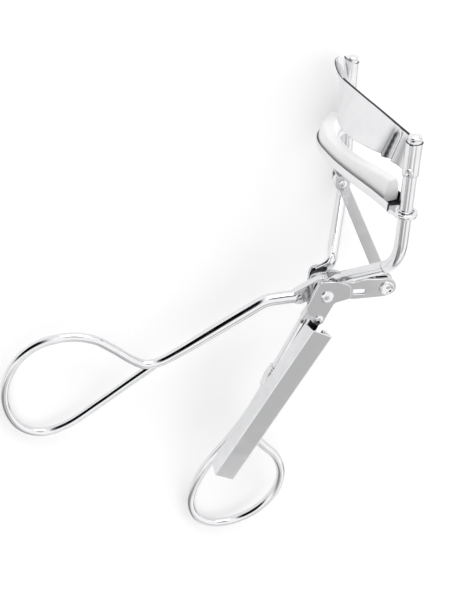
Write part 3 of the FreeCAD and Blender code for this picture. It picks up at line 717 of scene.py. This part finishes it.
# rivet with a domed head, a quarter ellipse spun, at both ends of its shank
def domedPin(at, shank, head, reach, rise):
    a = np.linspace(0, np.pi / 2, 9)
    dome = [(max(head * math.cos(v), 0.02), reach + 0.12 + rise * math.sin(v)) for v in a]
    outline = [(shank, 0), (shank, reach), (head - 0.06, reach), (head, reach + 0.06)] + dome
    return spun([(r, -h) for r, h in outline[::-1]] + outline[1:], (at[0], at[1], 0), (0, 0, 1), 36)


addPiece("mainRivet", *domedPin(**mainRivet), "frame", ["main_rivet"])
addPiece("combPin", *domedPin(**combPin), "frame", ["comb_pin"])

lowerLinkPin = dict(at=link["foot"], shank=0.66, head=1.4, reach=arm["outer"])


# tubular rivet whose end is rolled over: a raised rim round a shallow well
def rolledPin(at, shank, head, reach):
    rim = [(0.02, 0.1), (head - 0.62, 0.08), (head - 0.52, 0.14), (head - 0.42, 0.34), (head - 0.28, 0.42),
           (head - 0.12, 0.36), (head, 0.18), (head, 0.02), (shank, 0.0)]
    outline = [(r, -reach - h) for r, h in rim] + [(r, reach + h) for r, h in rim[::-1]]
    return spun(outline, (at[0], at[1], 0), (0, 0, 1), 40)


addPiece("lowerLinkPin", *rolledPin(**lowerLinkPin), "lever", ["lower_link_pin"])
addPiece("upperLinkPin", *domedPin(**upperLinkPin), "slider", ["upper_link_pin"])
print("linkage made")

# comb case: folded channel with rounded folds, a closed far end and a hinge tab round its pin
case = dict(pin=(-1.2, -4.75), lean=28.3, start=2.5, length=37.0, width=4.3, aside=0.9, low=2.75, high=6.5,
            wall=0.4, fold=0.3, lip=1.1, tab=(2.42, 3.1), tabWidths=(1.05, 1.15))


# the section goes up one wall, over the roof and down the other, then back along the inside; it is carried
# straight down the case, set aside from the pin and turned by the lean
def caseShell(s, steps=7):
    w, r, t = s["width"] / 2, s["fold"], s["wall"]
    a = np.linspace(0, np.pi / 2, steps)
    left = np.stack([-w + r - r * np.cos(a), s["high"] - r + r * np.sin(a)], -1)
    right = np.stack([w - r + r * np.sin(a), s["high"] - r + r * np.cos(a)], -1)
    q = max(r - t, 0.08)
    innerRight = np.stack([w - t - q + q * np.cos(a), s["high"] - t - q + q * np.sin(a)], -1)
    innerLeft = np.stack([-(w - t) + q - q * np.sin(a), s["high"] - t - q + q * np.cos(a)], -1)
    profile = np.vstack([[(-w, s["low"])], left, right, [(w, s["low"]), (w - t, s["low"])],
                         innerRight, innerLeft, [(-w + t, s["low"])]])
    # close rows keep the ends crisp
    down = s["start"] + np.concatenate([[0, 0.04], np.linspace(0.1, s["length"] - 0.04, 57), [s["length"]]])
    shell = carried(down[:, None] * (0, -1.0, 0), profile, (0, 0, 1))
    mouth = shell[0][:2 * len(profile)]
    mouth[:, 1] += s["lip"] * (mouth[:, 2] > s["high"] - t - 0.05)  # the roof reaches past the walls
    side, top, end = w - 0.02, s["high"] - 0.02, s["start"] + s["length"]
    wallOutline = softCorners([(-side, s["low"]), (side, s["low"]), (side, top), (-side, top)], [0.05, 0.05, r, r])
    endWall = stamped([wallOutline], end - t, end, 0.04, along=(0, 0, 1))
    hub, neck = s["tabWidths"]
    tab = stamped([strapOutline((0, 0), hub, (0.2, -s["start"] - 0.3), neck)], *s["tab"], 0.06)
    points, faces = joined(shell, endWall)
    points, faces = joined((points + (s["aside"], 0, 0), faces), tab)
    lean = -math.radians(s["lean"])
    swing = np.array([[math.cos(lean), -math.sin(lean), 0], [math.sin(lean), math.cos(lean), 0], [0, 0, 1]])
    return points @ swing.T + np.array([*s["pin"], 0]), faces


casePiece = addPiece("combCase", *caseShell(case), "comb", ["comb_case"], flat=True)
# painted shade: the case's inside takes the dark steel
casePiece.data.materials.append(shadeDarkSteel)


# inside faces of the folded channel take the dark steel as painted shade: nearer its middle line than the outer walls,
# below the roof
def darkInside(mesh, s):
    at = faceCentres(mesh) - (*s["pin"], 0)
    lean = math.radians(s["lean"])
    across = at[:, 0] * math.cos(lean) - at[:, 1] * math.sin(lean) - s["aside"]
    down = -(at[:, 0] * math.sin(lean) + at[:, 1] * math.cos(lean))
    inside = (np.abs(across) < s["width"] / 2 - s["wall"] * 0.6) & (at[:, 2] < s["high"] - s["wall"] * 0.6)
    inside &= (down > s["start"] + 0.1) & (down < s["start"] + s["length"] - s["wall"] * 1.2)
    mesh.polygons.foreach_set("material_index", inside.astype(np.int32))


darkInside(casePiece.data, case)

# spring clip: a sleeve sprung on to the lower handle with a tongue that the folded case shuts over
catch = dict(root=(-3.6, -9.5), end=(-9.6, -22.7), start=10.0, length=4.4, bore=1.2, wall=0.35, swell=0.2,
             tongue=(2.2, 2.9))


# an outline that swells by a squared sine spun about the wire, with a flat tongue standing up from it
def combCatch(s):
    root, end = np.array(s["root"]), np.array(s["end"])
    run = (end - root) / np.linalg.norm(end - root)
    t = np.linspace(0, 1, 15)
    outer = s["bore"] + s["wall"] + s["swell"] * np.sin(np.pi * t) ** 2
    outline = np.vstack([(s["bore"], 0), np.stack([outer, s["length"] * t], -1), (s["bore"], s["length"])])
    at = np.array([*(root + run * s["start"]), 0.0])
    wide, tall = s["tongue"]
    tongue = softCorners([(0.6, 0.5), (wide + 0.6, 0.5), (wide + 0.3, tall), (0.9, tall)], 0.3, 5)
    return joined(spun(outline, at, (*run, 0), 36), stamped([tongue], -0.2, 0.2, 0.06, at, (*run, 0), (0, 0, 1)))


addPiece("combCatch", *combCatch(catch), "frame", ["comb_catch"], flat=True)
print("comb case made")

paperLook = dict(colour="f0f0f0", rough=0.9, glow="ffffff", glowStrength=0.2)


# matt white paper: no highlights, with a little glow so that it stays white under the curler
def whitePaper(s):
    m, t = newMaterial("matt_white_paper")
    shader = addNode(t, "ShaderNodeBsdfPrincipled",
                     {"Roughness": s["rough"], "Base Color": fromHex(s["colour"]),
                      "Emission Color": fromHex(s["glow"]), "Emission Strength": s["glowStrength"]})
    addNode(t, "ShaderNodeOutputMaterial", links={"Surface": shader.outputs[0]})
    return m


lowest = cadBox[0][2]
bpy.ops.mesh.primitive_plane_add(size=3.0, location=(0, 0, lowest))
floor = bpy.context.object
floor.name = "floor"
floor.data.materials.append(whitePaper(paperLook))

studio = dict(horizon=(-0.05, 0.3), dark=0.3, strength=1.15, backdrop=0.9,
              cards=[((150, 20), 20, 34, 0.0), ((162, 40), 12, 26, 0.05), ((88, 53), 9, 15, 0.12),
                     ((-88, 46), 9, 15, 0.5), ((-40, 6), 7, 12, 0.25), ((-124, 18), 14, 30, 0.3)])


# pale all round and dimmer near the horizon, with round dark cards given as (azimuth, elevation), inner and outer
# half angle in degrees, and the brightness left inside
def addStudio(s):
    world = bpy.data.worlds.new("studio")
    bpy.context.scene.world = world
    world.use_nodes = True
    t = world.node_tree
    t.nodes.clear()
    coord = addNode(t, "ShaderNodeTexCoord")
    here = coord.outputs["Generated"]

    def ramp(value, low, high, first, last):
        return addNode(t, "ShaderNodeMapRange",
                       {"interpolation_type": "SMOOTHSTEP", 1: low, 2: high, 3: first, 4: last}, {0: value}).outputs[0]

    split = addNode(t, "ShaderNodeSeparateXYZ", links={0: here})
    light = ramp(split.outputs[2], *s["horizon"], s["dark"], 1.0)
    for (azimuth, height), inner, outer, level in s["cards"]:
        a, e = math.radians(azimuth), math.radians(height)
        aim = (math.cos(e) * math.cos(a), math.cos(e) * math.sin(a), math.sin(e))
        dot = addNode(t, "ShaderNodeVectorMath", {"operation": "DOT_PRODUCT", 1: aim}, {0: here})
        card = ramp(dot.outputs["Value"], math.cos(math.radians(outer)), math.cos(math.radians(inner)), 1.0, level)
        light = addNode(t, "ShaderNodeMath", {"operation": "MULTIPLY"}, {0: light, 1: card}).outputs[0]
    seen = addNode(t, "ShaderNodeLightPath")
    plain = addNode(t, "ShaderNodeMix", {"data_type": "FLOAT", 3: s["backdrop"]},
                    {0: seen.outputs["Is Camera Ray"], 2: light})
    back = addNode(t, "ShaderNodeBackground", {"Strength": s["strength"]}, {"Color": plain.outputs[0]})
    addNode(t, "ShaderNodeOutputWorld", links={"Surface": back.outputs[0]})


addStudio(studio)

softbox = dict(at=(0.06, 0.42, 0.16), aim=(0.02, 0.03, 0.015), size=0.34, power=0.6)  # metres and watts


def addSoftbox(s):  # a square lamp turned to its aim
    data = bpy.data.lights.new("softbox", "AREA")
    data.size, data.energy = s["size"], s["power"]
    lamp = bpy.data.objects.new("softbox", data)
    bpy.context.scene.collection.objects.link(lamp)
    ahead = np.array(s["aim"]) - np.array(s["at"])
    ahead /= np.linalg.norm(ahead)
    right = np.cross(ahead, (0, 0, 1.0))
    right /= np.linalg.norm(right)
    m = np.eye(4)
    m[:3, 0], m[:3, 1], m[:3, 2], m[:3, 3] = right, np.cross(right, ahead), -ahead, s["at"]
    lamp.matrix_world = Matrix(m.tolist())


addSoftbox(softbox)
bpy.context.scene.view_settings.view_transform = "Standard"
print("studio lit")
